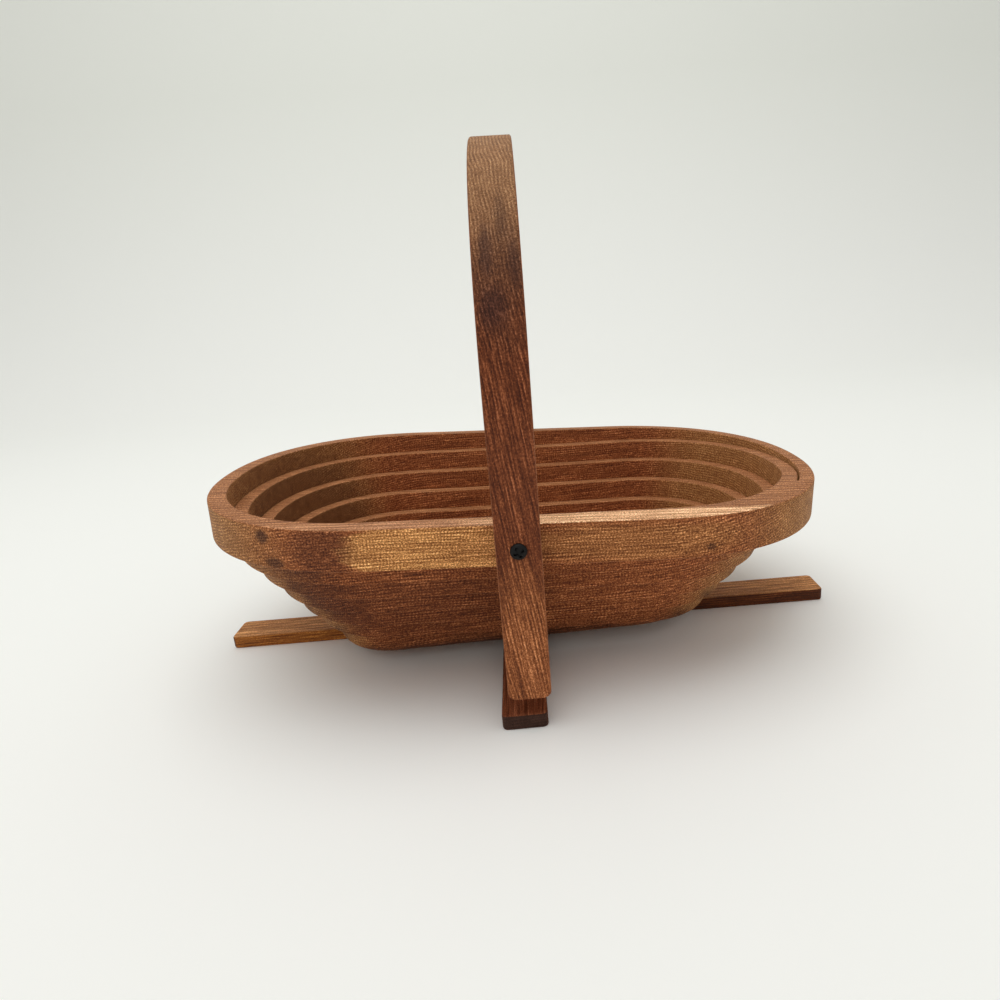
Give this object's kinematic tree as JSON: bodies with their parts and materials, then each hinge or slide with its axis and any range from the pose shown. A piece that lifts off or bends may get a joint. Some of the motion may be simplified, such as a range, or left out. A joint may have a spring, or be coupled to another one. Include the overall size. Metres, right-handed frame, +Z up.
{
  "type": "collapsible wooden basket",
  "caption": "Oval board cut by one spiral saw cut that drops into a basket bowl, with a hinged wooden carrying hoop and crossed slat feet; folds flat.",
  "frame": {"origin": "centre of the footprint on the surface the slats stand on", "axes": "+X along the long slat to the viewer's right, +Y away from the viewer, +Z up"},
  "size_m": [0.3252, 0.2166, 0.2425],
  "materials": {
    "brown_wood": "oiled",
    "screw_steel": "black satin"
  },
  "bodies": {
    "base": {"bottom_plate": "brown_wood", "spiral_ramp_6": "brown_wood", "long_slat": "brown_wood", "cross_slat": "brown_wood", "slat_screw_left": "screw_steel", "slat_screw_centre": "screw_steel", "slat_screw_right": "screw_steel"},
    "turn_5": {"spiral_ramp_5": "brown_wood", "spiral_level_5": "brown_wood"},
    "turn_4": {"spiral_ramp_4": "brown_wood", "spiral_level_4": "brown_wood"},
    "turn_3": {"spiral_ramp_3": "brown_wood", "spiral_level_3": "brown_wood"},
    "turn_2": {"spiral_ramp_2": "brown_wood", "spiral_level_2": "brown_wood"},
    "turn_1": {"spiral_ramp_1": "brown_wood", "spiral_level_1": "brown_wood"},
    "rim": {"rim_hoop": "brown_wood", "pivot_screw_front": "screw_steel", "pivot_screw_back": "screw_steel"},
    "handle": {"handle_hoop": "brown_wood"}
  },
  "joints": [
    {"name": "turn_5_drop", "type": "hinge", "parent": "base", "child": "turn_5", "pos_m": [0.20311, 0, 0.01984], "axis": [0, -1, 0], "range_deg": [0, 2.92]},
    {"name": "turn_4_drop", "type": "slide", "parent": "turn_5", "child": "turn_4", "axis": [-0.051, 0, -0.9987], "range_m": [0, 0.01053]},
    {"name": "turn_3_drop", "type": "slide", "parent": "turn_4", "child": "turn_3", "axis": [-0.051, 0, -0.9987], "range_m": [0, 0.01053]},
    {"name": "turn_2_drop", "type": "slide", "parent": "turn_3", "child": "turn_2", "axis": [-0.051, 0, -0.9987], "range_m": [0, 0.01053]},
    {"name": "turn_1_drop", "type": "slide", "parent": "turn_2", "child": "turn_1", "axis": [-0.051, 0, -0.9987], "range_m": [0, 0.01053]},
    {"name": "rim_drop", "type": "slide", "parent": "turn_1", "child": "rim", "axis": [-0.051, 0, -0.9987], "range_m": [0, 0.01053]},
    {"name": "handle_fold", "type": "hinge", "parent": "rim", "child": "handle", "pos_m": [0, 0, 0.08106], "axis": [0, -1, 0], "range_deg": [0, 87.9]}
  ],
  "couplings": [
    {"joint": "turn_5_drop", "follows": "handle_fold", "ratio": 0.033257},
    {"joint": "turn_4_drop", "follows": "handle_fold", "m_per_rad": 0.0068637},
    {"joint": "turn_3_drop", "follows": "handle_fold", "m_per_rad": 0.0068637},
    {"joint": "turn_2_drop", "follows": "handle_fold", "m_per_rad": 0.0068637},
    {"joint": "turn_1_drop", "follows": "handle_fold", "m_per_rad": 0.0068637},
    {"joint": "rim_drop", "follows": "handle_fold", "m_per_rad": 0.0068637}
  ]
}
